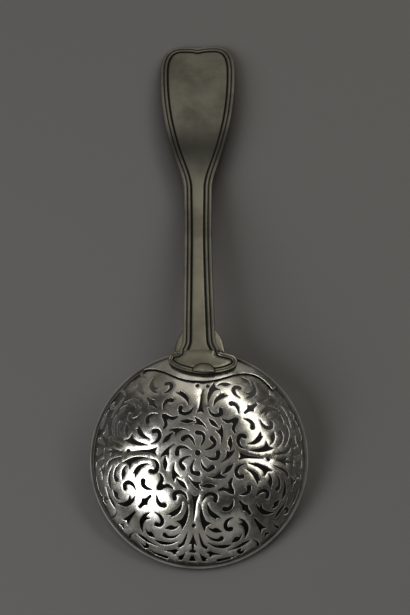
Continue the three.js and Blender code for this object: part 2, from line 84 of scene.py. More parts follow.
# %% [markdown]
# ## The camera
#
# The photograph was taken with a long lens, from the front and about sixty-four degrees above the table. The
# camera is placed by its distance, its two angles and a slight roll, all found by laying the bowl's rim and
# the handle's outline over the photograph.

# %% Camera
frame_height_px = 615
focal_px = 1627
camera_elevation = math.radians(64.06)
camera_azimuth = math.radians(3.25)
camera_roll = math.radians(-3.98)
camera_distance = 578.7
camera_target = Vector((2.08, -7.28, 0))

towards = Vector((math.sin(camera_azimuth) * math.cos(camera_elevation),
                  -math.cos(camera_azimuth) * math.cos(camera_elevation), math.sin(camera_elevation)))
level = Vector((math.cos(camera_azimuth), math.sin(camera_azimuth), 0))
upward = towards.cross(level)
right = level * math.cos(camera_roll) + upward * math.sin(camera_roll)
above = upward * math.cos(camera_roll) - level * math.sin(camera_roll)

bpy.ops.object.select_all(action="DESELECT")
bpy.ops.object.camera_add()
camera = bpy.context.object
camera.name = "studio_camera"
place = Matrix((right, above, towards)).transposed().to_4x4()
place.translation = (camera_target + towards * camera_distance) * MM
camera.matrix_world = place
camera.data.sensor_fit = "VERTICAL"
camera.data.sensor_height = 36
camera.data.lens = focal_px * camera.data.sensor_height / frame_height_px
camera.data.clip_start = 0.01
bpy.context.scene.camera = camera
print("lens in mm:", round(camera.data.lens, 1))

# %% [markdown]
# ## Colours and a way to build materials
#
# Colours are written as they are picked on a screen, in hex, and one function turns them to the linear values
# that light is reckoned in. Another small function adds a node with its settings and links, so that each
# material below reads as a short list of steps. A Mix node has hidden sockets for every kind of value, so the
# sockets for its two colours and for their mix are picked by number.

# %% Material helpers
MIX_FIRST, MIX_SECOND, MIX_RESULT = 6, 7, 2


def linear(hex_colour):
    channels = [int(hex_colour[i:i + 2], 16) / 255 for i in (1, 3, 5)]
    return [c / 12.92 if c <= 0.04045 else ((c + 0.055) / 1.055) ** 2.4 for c in channels] + [1.0]


def add_node(material, kind, settings=(), inputs=()):
    node = material.node_tree.nodes.new(kind)
    for name, value in dict(settings).items():
        setattr(node, name, value)
    for name, value in dict(inputs).items():
        if isinstance(value, bpy.types.NodeSocket):
            material.node_tree.links.new(value, node.inputs[name])
        else:
            node.inputs[name].default_value = value
    return node


# %% [markdown]
# ## Silver with its patina
#
# Solid silver, raised by hammer and polished, is a bright warm white metal. A spoon that has been in use for
# two centuries carries three marks of age. Sulphide stays in every groove and cut, brown to black. Thin
# tarnish clouds the open surface in soft patches. And polishing leaves fine scratches that spread each
# highlight. The grooves are marked on the mesh by an attribute called patina_and_shade, from 0 on open metal
# to 1 in a cut, and the other two come from noise with real sizes. The same attribute also paints shade:
# black on lower faces and in gaps, inside the rim band, on the handle's thread ridges and in the hollow past
# the neck.
#
# Sulphide is a crust and not a metal: even black metal would shine in a cut where light grazes it. So the
# patina_and_shade attribute also takes the metal away and dulls the surface, where it paints shade as well as
# where it marks sulphide. Real scratches are too fine to show from here, so they are drawn as coarse as they
# need to be, a third of a millimetre apart.

# %% Silver
cloud_low, cloud_high = 0.42, 0.66
wear_mm = 3.0
wear_polish, wear_dulling = 0.05, 0.09
cut_dulling = 0.55
crust_shine = 0.1
scratch_mm = 0.35
scratch_depth_mm = 0.004
wave_mm = 7.0


def silver(name, bright, cloudy, dark, roughness, cloud_mm=9.0, wave_depth_mm=0.05):
    """Silver by its colours on open metal, in a cloud and in a cut, and by the roughness of open metal."""
    material = bpy.data.materials.new(name)
    material.use_nodes = True
    shader = material.node_tree.nodes["Principled BSDF"]
    place_on_piece = add_node(material, "ShaderNodeTexCoord").outputs["Object"]
    patina_and_shade = add_node(material, "ShaderNodeAttribute", {"attribute_name": "patina_and_shade"}).outputs["Fac"]
    clouds = add_node(material, "ShaderNodeTexNoise", inputs={
        "Vector": place_on_piece, "Scale": 1 / (cloud_mm * MM), "Detail": 5.0, "Roughness": 0.6})
    cloud_amount = add_node(material, "ShaderNodeMapRange", inputs={
        "Value": clouds.outputs["Fac"], "From Min": cloud_low, "From Max": cloud_high,
        "To Min": 0.0, "To Max": 1.0})
    open_metal = add_node(material, "ShaderNodeMix", {"data_type": "RGBA"}, {
        "Factor": cloud_amount.outputs["Result"]})
    open_metal.inputs[MIX_FIRST].default_value = linear(bright)
    open_metal.inputs[MIX_SECOND].default_value = linear(cloudy)
    aged = add_node(material, "ShaderNodeMix", {"data_type": "RGBA"}, {"Factor": patina_and_shade})
    material.node_tree.links.new(open_metal.outputs[MIX_RESULT], aged.inputs[MIX_FIRST])
    aged.inputs[MIX_SECOND].default_value = linear(dark)
    material.node_tree.links.new(aged.outputs[MIX_RESULT], shader.inputs["Base Color"])
    shader.inputs["Specular IOR Level"].default_value = crust_shine
    bare_metal = add_node(material, "ShaderNodeMath", {"operation": "SUBTRACT"}, {0: 1.0, 1: patina_and_shade})
    material.node_tree.links.new(bare_metal.outputs[0], shader.inputs["Metallic"])

    wear = add_node(material, "ShaderNodeTexNoise", inputs={
        "Vector": place_on_piece, "Scale": 1 / (wear_mm * MM), "Detail": 6.0, "Roughness": 0.65})
    worn = add_node(material, "ShaderNodeMapRange", inputs={
        "Value": wear.outputs["Fac"], "From Min": 0.3, "From Max": 0.7,
        "To Min": roughness - wear_polish, "To Max": roughness + wear_dulling})
    dulled = add_node(material, "ShaderNodeMath", {"operation": "MULTIPLY_ADD"}, {
        0: patina_and_shade, 1: cut_dulling, 2: worn.outputs["Result"]})
    material.node_tree.links.new(dulled.outputs[0], shader.inputs["Roughness"])

    scratches = add_node(material, "ShaderNodeTexNoise", inputs={
        "Vector": place_on_piece, "Scale": 1 / (scratch_mm * MM), "Detail": 3.0, "Distortion": 1.2})
    waves = add_node(material, "ShaderNodeTexNoise", inputs={
        "Vector": place_on_piece, "Scale": 1 / (wave_mm * MM), "Detail": 1.0})
    fine = add_node(material, "ShaderNodeBump", inputs={
        "Height": scratches.outputs["Fac"], "Strength": 1.0, "Distance": scratch_depth_mm * MM})
    broad = add_node(material, "ShaderNodeBump", inputs={
        "Height": waves.outputs["Fac"], "Strength": 1.0, "Distance": wave_depth_mm * MM,
        "Normal": fine.outputs["Normal"]})
    material.node_tree.links.new(broad.outputs["Normal"], shader.inputs["Normal"])
    return material


# %% [markdown]
# ## Three finishes
#
# The bowl's sheet was planished and polished, so it is the brightest, and the hammer has left it slightly
# wavy. The rim and the collar are bands soldered on, smooth and worn satin by use. The heel and the handle
# were forged and are what the hand touches, so they are the dullest, with wide clouds of yellowish tarnish.

# %% Finishes
sheet_silver = silver("raised silver sheet, polished", "#d6d3ca", "#a9a698", "#12110f", 0.24,
                      wave_depth_mm=0.10)
band_silver = silver("soldered silver band, worn", "#d9d7cf", "#b0ad9f", "#15130f", 0.22)
stem_silver = silver("forged silver, dull from handling", "#8b8879", "#706d60", "#12110e", 0.34, cloud_mm=14)
print("materials:", [m.name for m in (sheet_silver, band_silver, stem_silver)])

# %% [markdown]
# ## Helpers for shaping a piece
#
# Three small steps come back for every piece. Its mesh is scaled from millimetres to metres, moved from the
# bowl's own level frame to the leaning bowl where that applies, and its place is baked into the mesh. Its
# grooves, and the places where shade is painted, are marked with the patina_and_shade attribute. And it is
# handed over: it rides on the spoon's one body, takes the place of a solid, and takes its finish.

# %% Shaping helpers


def only(piece):
    bpy.ops.object.select_all(action="DESELECT")
    piece.select_set(True)
    bpy.context.view_layer.objects.active = piece


def bake_place(piece, turn=0.0, leaning=True):
    """Scales a piece from millimetres and, for a bowl piece, turns and leans it into its place."""
    only(piece)
    lean = Matrix.Rotation(rest_tilt, 4, "X") if leaning else Matrix.Identity(4)
    move = Matrix.Translation((0, bowl_y * MM, bowl_z * MM)) if leaning else Matrix.Identity(4)
    piece.matrix_world = move @ lean @ Matrix.Rotation(turn, 4, "Z") @ Matrix.Scale(MM, 4)
    bpy.ops.object.transform_apply(location=True, rotation=True, scale=True)


def mark_patina_and_shade(piece, amounts):
    attribute = piece.data.attributes.new("patina_and_shade", "FLOAT", "POINT")
    attribute.data.foreach_set("value", amounts)


def hand_over(piece, name, node, material, smooth_degrees=40):
    only(piece)
    piece.name = name
    piece.data.materials.clear()
    piece.data.materials.append(material)
    bpy.ops.object.shade_smooth_by_angle(angle=math.radians(smooth_degrees))
    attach(piece, "root")
    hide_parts(node)
    corners = [Vector(corner) / MM for corner in piece.bound_box]
    low, high = [[round(pick(c[i] for c in corners), 1) for i in range(3)] for pick in (min, max)]
    print(name, "faces:", len(piece.data.polygons), "from", low, "to", high, "mm")


# %% [markdown]
# ## The shape of the dome
#
# The bowl was raised from a flat sheet over a stake. Its back is part of a sphere, with four lobes bulged out
# on top and a narrow valley between each two. A height for every place on the sheet says all of this, and
# every bowl piece is made flat first and then lifted onto that height.

# %% Dome heights
lobe_inner_share = 0.33
lobe_outer_share = 0.86
lobe_crown_power = 0.8
valley_power = 0.7


def sphere_height(radius):
    return dome_height - dome_sphere + math.sqrt(dome_sphere ** 2 - radius ** 2)


def lobe_height(x, y):
    radius = math.hypot(x, y)
    inner, outer = lobe_inner_share * bowl_radius, lobe_outer_share * bowl_radius
    if radius <= inner or radius >= outer:
        return 0.0
    crown = math.sin(math.pi * (radius - inner) / (outer - inner)) ** lobe_crown_power
    return lobe_rise * crown * abs(math.sin(2 * math.atan2(y, x))) ** valley_power


def sheet_height(x, y):
    """The sheet's outer surface in the ornament's own frame, where the valleys lie on the axes."""
    return sphere_height(min(math.hypot(x, y), bowl_radius)) + lobe_height(x, y)


def lift_onto_dome(piece, above_sheet=0.0):
    for vertex in piece.data.vertices:
        vertex.co.z += sheet_height(vertex.co.x, vertex.co.y) + above_sheet


print("dome in mm: middle", round(sheet_height(0, 0), 2), "edge", round(sheet_height(sheet_radius, 0), 2))

# %% [markdown]
# ## The pierced pattern
#
# The scrollwork was sawn out by hand: an eight-armed rosette, palmettes on the four axes, leafy scrolls
# between them and a running border. It repeats by quarter turns, and each quarter mirrors over its diagonal,
# so one eighth says nearly everything. A stroke is a curved cut that starts in a point, swells and ends in a
# round head: rows of [across, along, width]. Other holes are outlines of [across, along]. All are shares of
# the bowl's radius.

# %% Pattern tables
octant_stroke_shares = [
    [[0.068, 0.425, 0], [0.090, 0.376, 0.024], [0.138, 0.352, 0.034], [0.184, 0.372, 0.038],
     [0.180, 0.412, 0.040]],
    [[0.342, 0.388, 0], [0.334, 0.436, 0.026], [0.306, 0.472, 0.034], [0.268, 0.476, 0.044]],
    [[0.352, 0.540, 0], [0.305, 0.568, 0.024], [0.283, 0.612, 0.034], [0.301, 0.647, 0.034],
     [0.338, 0.640, 0.036]],
    [[0.135, 0.775, 0], [0.205, 0.797, 0.018], [0.280, 0.794, 0.028], [0.338, 0.776, 0.010]],
    [[0.433, 0.678, 0], [0.414, 0.712, 0.022], [0.386, 0.724, 0.042], [0.350, 0.752, 0.010]],
    [[0.118, 0.708, 0], [0.165, 0.738, 0.018], [0.222, 0.745, 0.024], [0.258, 0.726, 0.038]],
    [[0.132, 0.644, 0], [0.165, 0.664, 0.022], [0.207, 0.663, 0.040], [0.252, 0.672, 0.006]],
    [[0.052, 0.695, 0], [0.068, 0.745, 0.018], [0.090, 0.795, 0.026], [0.122, 0.815, 0.026]],
    [[0.320, 0.822, 0], [0.392, 0.792, 0.016], [0.452, 0.756, 0.024], [0.508, 0.722, 0.008]],
    [[0.536, 0.712, 0], [0.572, 0.728, 0.016], [0.582, 0.752, 0.028]],
    [[0.472, 0.802, 0], [0.440, 0.830, 0.022], [0.410, 0.828, 0.028], [0.424, 0.808, 0.020]],
    [[0.395, 0.858, 0], [0.330, 0.886, 0.016], [0.275, 0.902, 0.022], [0.228, 0.915, 0.024]],
]
octant_outline_shares = [
    [[0.058, 0.450], [0.050, 0.530], [0.066, 0.610], [0.102, 0.680], [0.114, 0.636], [0.162, 0.606],
     [0.112, 0.590], [0.080, 0.530]],
    [[0.110, 0.434], [0.117, 0.500], [0.150, 0.548], [0.203, 0.576], [0.202, 0.558], [0.243, 0.554],
     [0.190, 0.522], [0.145, 0.488]],
    [[0.395, 0.541], [0.452, 0.556], [0.490, 0.605], [0.489, 0.656], [0.459, 0.718], [0.456, 0.655],
     [0.440, 0.612], [0.397, 0.594], [0.436, 0.577]],
    [[0.060, 0.856], [0.083, 0.880], [0.140, 0.905], [0.122, 0.914], [0.132, 0.930], [0.092, 0.932],
     [0.078, 0.905]],
    [[0.125, 0.858], [0.150, 0.840], [0.190, 0.848], [0.264, 0.862], [0.184, 0.872], [0.168, 0.890],
     [0.150, 0.886], [0.150, 0.868]],
]
diagonal_outline_shares = [
    [[0.200, 0.332], [0.200, 0.316], [0.245, 0.287], [0.286, 0.298], [0.298, 0.286], [0.287, 0.245],
     [0.316, 0.200], [0.332, 0.200], [0.320, 0.255], [0.346, 0.310], [0.346, 0.340], [0.340, 0.346],
     [0.310, 0.346], [0.255, 0.320]],
    [[0.388, 0.402], [0.402, 0.388], [0.444, 0.420], [0.478, 0.425], [0.480, 0.452], [0.512, 0.494],
     [0.494, 0.512], [0.452, 0.480], [0.425, 0.478], [0.420, 0.444]],
    [[0.528, 0.542], [0.542, 0.528], [0.600, 0.572], [0.655, 0.604], [0.612, 0.612], [0.604, 0.655],
     [0.572, 0.600]],
    [[0.640, 0.640], [0.686, 0.636], [0.668, 0.654], [0.656, 0.656], [0.654, 0.668], [0.636, 0.686]],
]
axis_outline_shares = [
    [[-0.038, 0.366], [0, 0.384], [0.038, 0.366], [0.016, 0.430], [0.010, 0.500], [0, 0.600],
     [-0.010, 0.500], [-0.016, 0.430]],
    [[0, 0.698], [0.014, 0.748], [0.038, 0.802], [0.012, 0.790], [0.010, 0.838], [0.030, 0.846],
     [0.028, 0.864], [-0.028, 0.864], [-0.030, 0.846], [-0.010, 0.838], [-0.012, 0.790], [-0.038, 0.802],
     [-0.014, 0.748]],
    [[-0.010, 0.886], [0.010, 0.886], [0.034, 0.934], [-0.034, 0.934]],
]
axis_dot_shares = [[0, 0.634]]
handle_side_dot_shares = [[-0.047, 0.634], [0.047, 0.634]]
dot_radius_share = 0.018
centre_dot_radius_share = 0.027
rosette_stroke_shares = [
    [[0.058, 0.028, 0], [0.118, 0.053, 0.024], [0.150, 0.098, 0.032], [0.118, 0.142, 0.044]],
    [[0.075, 0.325, 0], [0.118, 0.284, 0.042], [0.156, 0.254, 0.020], [0.174, 0.231, 0.006]],
]
rosette_outline_shares = [
    [[-0.060, 0.336], [-0.010, 0.313], [0.042, 0.266], [0.080, 0.202], [0.026, 0.253], [-0.054, 0.257],
     [-0.030, 0.276], [-0.036, 0.302]],
]
print("in one eighth:", len(octant_stroke_shares), "strokes and", len(octant_outline_shares), "outlines")

# %% [markdown]
# ## From a table row to a sawn stroke
#
# A saw leaves smooth curves with small round ends. So each stroke is drawn along a spline through its rows,
# from a tiny round tip to a round head.

# %% Strokes
tip_radius = 0.07
stroke_steps = 4
head_steps = 4
tip_steps = 2


def spline_point(a, b, c, d, t):
    """A smooth curve from b to c that heads from a and towards d."""
    start = [(ci - ai) / 2 for ai, ci in zip(a, c)]
    end = [(di - bi) / 2 for bi, di in zip(b, d)]
    t2, t3 = t * t, t * t * t
    return [bi * (2 * t3 - 3 * t2 + 1) + si * (t3 - 2 * t2 + t) + ci * (3 * t2 - 2 * t3) + ei * (t3 - t2)
            for bi, ci, si, ei in zip(b, c, start, end)]


def round_end(end, start, count):
    """Points of a half circle round the end of a stroke, clockwise from a starting point."""
    centre = Vector(end[:2])
    arm = Vector(start) - centre
    points = []
    for step in range(1, count + 1):
        angle = -math.pi * step / (count + 1)
        cos, sin = math.cos(angle), math.sin(angle)
        points.append((centre.x + arm.x * cos - arm.y * sin, centre.y + arm.x * sin + arm.y * cos))
    return points


def sawn_stroke(rows):
    rows = [[value * bowl_radius for value in row] for row in rows]
    rows[0][2] = 2 * tip_radius
    line = []
    for i in range(len(rows) - 1):
        a, b, c, d = rows[max(i - 1, 0)], rows[i], rows[i + 1], rows[min(i + 2, len(rows) - 1)]
        line += [spline_point(a, b, c, d, step / stroke_steps) for step in range(stroke_steps)]
    line.append(rows[-1])
    left, right_side = [], []
    for i, (x, y, width) in enumerate(line):
        ahead = Vector(line[min(i + 1, len(line) - 1)][:2]) - Vector(line[max(i - 1, 0)][:2])
        ahead.normalize()
        half = max(width, 2 * tip_radius) / 2
        left.append((x - ahead.y * half, y + ahead.x * half))
        right_side.append((x + ahead.y * half, y - ahead.x * half))
    head = round_end(line[-1], left[-1], head_steps)
    tip = round_end(line[0], right_side[0], tip_steps)
    return left + head + right_side[::-1] + tip


print("points round the first stroke:", len(sawn_stroke(octant_stroke_shares[0])))

# %% [markdown]
# ## From a table row to a sawn outline
#
# The other holes have corners. Each sharp one is clipped to the small radius that a saw blade leaves, and the
# outline is then drawn as a spline through all its points. A dot was drilled, so it is a plain circle.

# %% Outlines and dots
corner_degrees = 50
corner_reach_share = 0.3
outline_steps = 3
short_side = 4 * tip_radius


def clipped_corners(points):
    clipped = []
    for i, point in enumerate(points):
        back = points[i - 1] - point
        front = points[(i + 1) % len(points)] - point
        inside = back.angle(front)
        if math.degrees(inside) > 180 - corner_degrees:
            clipped.append(point)
            continue
        reach = min(tip_radius / math.tan(inside / 2), corner_reach_share * back.length,
                    corner_reach_share * front.length)
        near, far = point + back.normalized() * reach, point + front.normalized() * reach
        clipped += [near, (near + far) / 4 + point / 2, far]
    return clipped


def sawn_outline(shares):
    points = clipped_corners([Vector(share) * bowl_radius for share in shares])
    count = len(points)
    smooth = []
    for i in range(count):
        a, b, c, d = points[i - 1], points[i], points[(i + 1) % count], points[(i + 2) % count]
        length = (c - b).length
        steps = 1 if length < short_side else outline_steps
        a = b - (b - a).normalized() * min((b - a).length, length)
        d = c + (d - c).normalized() * min((d - c).length, length)
        smooth += [tuple(spline_point(a, b, c, d, step / steps)) for step in range(steps)]
    return smooth


def sawn_dot(place, radius_share, corners=14):
    radius = radius_share * bowl_radius
    return [(place[0] * bowl_radius + radius * math.cos(2 * math.pi * i / corners),
             place[1] * bowl_radius + radius * math.sin(2 * math.pi * i / corners)) for i in range(corners)]


print("points round the first outline:", len(sawn_outline(octant_outline_shares[0])))

# %% [markdown]
# ## The whole pattern
#
# An eighth and its mirror image make a quarter, and four quarters are turned round the bowl. The rosette's
# arms are turned eight times. On the side towards the handle, two dots take the place of one.

# %% Pattern


def turned(outline, angle):
    cos, sin = math.cos(angle), math.sin(angle)
    return [(x * cos - y * sin, x * sin + y * cos) for x, y in outline]


def mirrored(outline):
    return [(y, x) for x, y in outline]


def all_holes():
    octant = [sawn_stroke(rows) for rows in octant_stroke_shares]
    octant += [sawn_outline(shares) for shares in octant_outline_shares]
    quarter = octant + [mirrored(hole) for hole in octant]
    quarter += [sawn_outline(shares) for shares in diagonal_outline_shares + axis_outline_shares]
    rosette = [sawn_stroke(rows) for rows in rosette_stroke_shares]
    rosette += [sawn_outline(shares) for shares in rosette_outline_shares]
    pattern = [sawn_dot((0, 0), centre_dot_radius_share)]
    for quarter_turn in range(4):
        dots = handle_side_dot_shares if quarter_turn == 0 else axis_dot_shares
        cuts = quarter + [sawn_dot(dot, dot_radius_share) for dot in dots]
        pattern += [turned(cut, quarter_turn * math.pi / 2) for cut in cuts]
    for eighth in range(8):
        pattern += [turned(cut, eighth * math.pi / 4) for cut in rosette]
    return pattern


# %% [markdown]
# ## Where the collar covers the sheet
#
# Behind the bowl, a plain collar lies over the sheet. Its front edge is shaped like a bracket, and the
# piercing stops short of it. The edge is two curves on each side, and it also says which holes are left out.

# %% Collar edge
collar_middle_share = (0, 0.678)
collar_peak_shares = [(0.22, 0.672), (0.3, 0.8), (0.455, 0.8)]
collar_end_shares = [(0.55, 0.8), (0.62, 0.75), (0.69, 0.66)]
collar_shift = -1.8
collar_hole_margin = 0.5


def bezier(points, steps):
    a, b, c, d = [Vector(point) for point in points]
    curve = []
    for step in range(steps + 1):
        t = step / steps
        curve.append(a * (1 - t) ** 3 + b * 3 * t * (1 - t) ** 2 + c * 3 * t * t * (1 - t) + d * t ** 3)
    return curve


def collar_side(steps=16):
    inner = bezier([collar_middle_share] + collar_peak_shares, steps)
    outer = bezier([collar_peak_shares[-1]] + collar_end_shares, steps)
    return [point * bowl_radius for point in inner + outer[1:]]


def collar_edge_at(x):
    side = collar_side()
    across = abs(x - collar_shift)
    for near, far in zip(side, side[1:]):
        if near.x <= across <= far.x:
            return near.y + (far.y - near.y) * (across - near.x) / (far.x - near.x)
    return math.inf


def clear_of_collar(hole):
    return all(y < collar_edge_at(x) - collar_hole_margin for x, y in hole)


holes = [hole for hole in all_holes() if clear_of_collar(hole)]
print("holes sawn:", len(holes), "points:", sum(len(hole) for hole in holes))

# %% [markdown]
# ## How far a place lies from an edge
#
# Soft edges, threads and sulphide all follow the edges of a piece, so every plate has to know how far each of
# its points lies from the nearest outline. A tree of all the outlines' points finds the nearest few at once,
# and the distance is then measured to the stretches of outline that meet at each of those.

# %% Distance to an edge
nearest_points = 3
shortest_squared = 1e-12


def segment_distance(point, a, b):
    along = b - a
    share = min(1.0, max(0.0, (point - a).dot(along) / max(along.length_squared, shortest_squared)))
    return (point - a - along * share).length


def edge_distance_finder(loops):
    """A function that tells how far a place lies from the nearest outline."""
    points = [Vector(point) for loop in loops for point in loop]
    before, after = [], []
    for loop in loops:
        first, count = len(before), len(loop)
        before += [first + (i - 1) % count for i in range(count)]
        after += [first + (i + 1) % count for i in range(count)]
    tree = KDTree(len(points))
    for i, point in enumerate(points):
        tree.insert((point.x, point.y, 0), i)
    tree.balance()

    def distance(x, y):
        place = Vector((x, y))
        near = [i for _, i, _ in tree.find_n((x, y, 0), nearest_points)]
        return min(segment_distance(place, points[i], points[j]) for i in near for j in (before[i], after[i]))

    return distance


# %% [markdown]
# ## The points of a plate
#
# No primitive has edges like these, so a plate starts as points: those of every outline, rows of points just
# beside each edge, and a grid over the rest. A row's point is left out where another edge is nearer than its
# own, as in a sharp corner, and the grid keeps clear of the rows.

# %% Plate points
row_fit_share = 0.93
grid_edge_share = 0.4
grid_row_share = 0.3


def signed_area(outline):
    return sum(a[0] * b[1] - b[0] * a[1] for a, b in zip(outline, outline[1:] + outline[:1])) / 2


def plate_points(loops, row_distances, grid, distance):
    """Points beside every outline, at each row's distance from it, and on a grid between them."""
    beside = []
    for number, loop in enumerate(loops):
        metal_side = 1 if (signed_area(loop) > 0) == (number == 0) else -1
        for i, point in enumerate(loop):
            along = Vector(loop[(i + 1) % len(loop)]) - Vector(loop[i - 1])
            inward = Vector((-along.y, along.x)).normalized() * metal_side
            for away in row_distances:
                place = Vector(point) + inward * away
                if distance(place.x, place.y) > row_fit_share * away:
                    beside.append(place)
    xs, ys = [p[0] for p in loops[0]], [p[1] for p in loops[0]]
    clear = max(grid_edge_share * grid, max(row_distances) + grid_row_share * grid)
    between = []
    for i in range(math.ceil((max(xs) - min(xs)) / grid)):
        for j in range(math.ceil((max(ys) - min(ys)) / grid)):
            place = Vector((min(xs) + (i + 0.5 * (j % 2)) * grid, min(ys) + j * grid))
            if distance(place.x, place.y) > clear:
                between.append(place)
    return beside + between


# %% [markdown]
# ## From points to a plate with soft edges
#
# A triangulation joins the points inside the outer outline and leaves the holes open, and the flat mesh is
# extruded to its thickness. Then every point moves up or down and takes its patina and painted shade by a
# few rows of [distance from the edge, height, patina and shade]. Rows on a quarter circle soften an edge as
# two centuries of polishing do. Where a piece carries the border of its neighbour on, the distance is
# measured from another outline, the border, which is drawn on past the piece's own edge.

# %% Shaped plates
inside_without_holes = 2
merge_gap = 1e-5
HEIGHT, PATINA_AND_SHADE = 1, 2


def in_rows(rows, away, column):
    """A value between rows of [distance, height, patina] at a distance from the edge."""
    for near, far in zip(rows, rows[1:]):
        if away <= far[0]:
            share = max(0.0, away - near[0]) / (far[0] - near[0])
            return near[column] + (far[column] - near[column]) * share
    return rows[-1][column]


def rounded_rows(radius, edge_patina_and_shade, steps=3):
    """Rows of a quarter circle from the side of a plate to its flat top, with patina and painted shade fading
    up it.
    """
    angles = [math.pi / 2 * i / steps for i in range(steps + 1)]
    return [(radius * (1 - math.cos(a)), radius * (math.sin(a) - 1), edge_patina_and_shade * (1 - math.sin(a)))
            for a in angles]


def shaded_underside(rows, patina_and_shade):
    """The same rows for the lower face, darkened all over as painted shade and darker still towards the edge.
    """
    return [(away, -height, patina_and_shade + (1 - patina_and_shade) * top_patina_and_shade) for away, height, top_patina_and_shade in rows]


def flat_plate(name, loops, inner_points, thickness):
    """A plate of one outline and its holes, with its top at zero height."""
    points = [Vector(point) for loop in loops for point in loop] + inner_points
    borders, first = [], 0
    for loop in loops:
        borders.append(list(range(first, first + len(loop))))
        first += len(loop)
    places, _, faces, *_ = delaunay_2d_cdt(points, [], borders, inside_without_holes, merge_gap)
    used = sorted({i for face in faces for i in face})
    renumbered = {old: new for new, old in enumerate(used)}
    mesh = bpy.data.meshes.new(name)
    mesh.from_pydata([(places[i].x, places[i].y, 0) for i in used], [],
                     [[renumbered[i] for i in face] for face in faces])
    plate = bpy.data.objects.new(name, mesh)
    bpy.context.scene.collection.objects.link(plate)
    only(plate)
    bpy.ops.object.mode_set(mode="EDIT")
    bpy.ops.mesh.select_all(action="SELECT")
    bpy.ops.mesh.extrude_region_move(TRANSFORM_OT_translate={"value": (0, 0, -thickness)})
    bpy.ops.mesh.select_all(action="SELECT")
    bpy.ops.mesh.normals_make_consistent(inside=False)
    bpy.ops.object.mode_set(mode="OBJECT")
    return plate


def shaped_plate(name, loops, thickness, top_rows, bottom_rows, grid, border=None):
    """A flat plate with heights, and patina and painted shade, by the distance from its border or, without
    one, its outlines.
    """
    distance = edge_distance_finder(border or loops)
    inner_points = plate_points(border or loops, [row[0] for row in top_rows[1:]], grid, distance)
    plate = flat_plate(name, loops, inner_points, thickness)
    patina_and_shade = []
    for vertex in plate.data.vertices:
        rows = top_rows if vertex.co.z > -thickness / 2 else bottom_rows
        away = distance(vertex.co.x, vertex.co.y)
        vertex.co.z += in_rows(rows, away, HEIGHT)
        patina_and_shade.append(in_rows(rows, away, PATINA_AND_SHADE))
    mark_patina_and_shade(plate, patina_and_shade)
    return plate


# %% [markdown]
# ## The pierced sheet
#
# The bowl is one sheet of silver. Here it is made flat with all its holes and is then lifted onto the dome,
# which keeps every hole upright like a saw cut. The walls of the holes are darkened to black, as sulphide
# and painted shade, and the hollow underside is darkened at least half way all over as painted shade, so the
# inside of the bowl stays dark through the holes.

# %% Pierced sheet
hole_edge_rounding = 0.15
sheet_grid = 1.0
sheet_edge_steps = 256
sheet_under_shade = 0.5

edge_angles = [2 * math.pi * i / sheet_edge_steps for i in range(sheet_edge_steps)]
circle = [(sheet_radius * math.cos(a), sheet_radius * math.sin(a)) for a in edge_angles]
edge_rows = rounded_rows(hole_edge_rounding, 1.0)
sheet = shaped_plate("pierced_sheet", [circle] + holes, sheet_thickness, edge_rows,
                     shaded_underside(edge_rows, sheet_under_shade), sheet_grid)
lift_onto_dome(sheet)
bake_place(sheet, turn=ornament_turn)
hand_over(sheet, "pierced_sheet", "bowl_sifter", sheet_silver, smooth_degrees=50)

# %% [markdown]
# ## The rim band
#
# A flat band is soldered round the edge of the bowl. It stands a little above the sheet, so a dark line runs
# inside it. The band's inner half is painted dark as the shade of that line, and its outer half, with the
# outside of the rounded lip, is darkened a little less. Its section is a small outline that is spun round the
# bowl's axis. The ring is then closed and its normals are turned outwards.

# %% Rim band
lip_rise_share = 1.6
lip_rise = rim_rounding * lip_rise_share
lip_steps = 8
band_side_height = 0.9
band_chamfer = 0.15
band_steps = 192
lip_inner_shade = 0.9
lip_outer_darkening = 0.7
merged_doubles = 0.001


def spun_ring(name, section, steps):
    """A ring made by spinning a closed section of [radius, height] round the bowl's axis."""
    bpy.ops.object.select_all(action="DESELECT")
    bpy.ops.mesh.primitive_circle_add(vertices=len(section), radius=1.0)
    ring = bpy.context.object
    ring.name = name
    for vertex, (radius, height) in zip(ring.data.vertices, section):
        vertex.co = (0, -radius, height)
    bpy.ops.object.mode_set(mode="EDIT")
    bpy.ops.mesh.select_all(action="SELECT")
    bpy.ops.mesh.spin(steps=steps, angle=2 * math.pi, center=(0, 0, 0), axis=(0, 0, 1))
    bpy.ops.mesh.select_all(action="SELECT")
    bpy.ops.mesh.remove_doubles(threshold=merged_doubles)
    bpy.ops.mesh.normals_make_consistent(inside=False)
    bpy.ops.object.mode_set(mode="OBJECT")
    return ring


lip_middle = bowl_radius - rim_wall / 2
lip_base = rim_height - lip_rise
inner_side = bowl_radius - rim_wall
rim_section = [(lip_middle + math.cos(a) * rim_wall / 2, lip_base + math.sin(a) * lip_rise)
               for a in [math.pi * i / lip_steps for i in range(lip_steps + 1)]]
rim_section += [(inner_side, band_side_height), (inner_side, band_chamfer), (inner_side + band_chamfer, 0),
                (bowl_radius - band_chamfer, 0), (bowl_radius, band_chamfer), (bowl_radius, band_side_height)]
rim = spun_ring("rim_band", rim_section, band_steps)
# Painted shade: the band's inner half is darkened for the dark line inside it, and its outer half a little
# less.
mark_patina_and_shade(rim, [lip_inner_shade if math.hypot(v.co.x, v.co.y) < lip_middle else lip_outer_darkening
                  for v in rim.data.vertices])
bake_place(rim)
hand_over(rim, "rim_band", "rim_frame", band_silver)

# %% [markdown]
# ## The collar
#
# The collar is a plate cut to the bracket outline in front and to the band's circle behind. It follows the
# dome just above the sheet. Its front edge is thick and well rounded, so it catches the light and has a black
# line under it. The foot of that edge is painted black, as sulphide and painted shade, and the underside is
# painted black all over as painted shade in the gap.

# %% Collar
collar_bottom = seam
collar_thickness = 0.8
collar_rounding = 0.28
collar_rounding_steps = 4
collar_on_rim_share = 0.4
collar_grid = 1.0


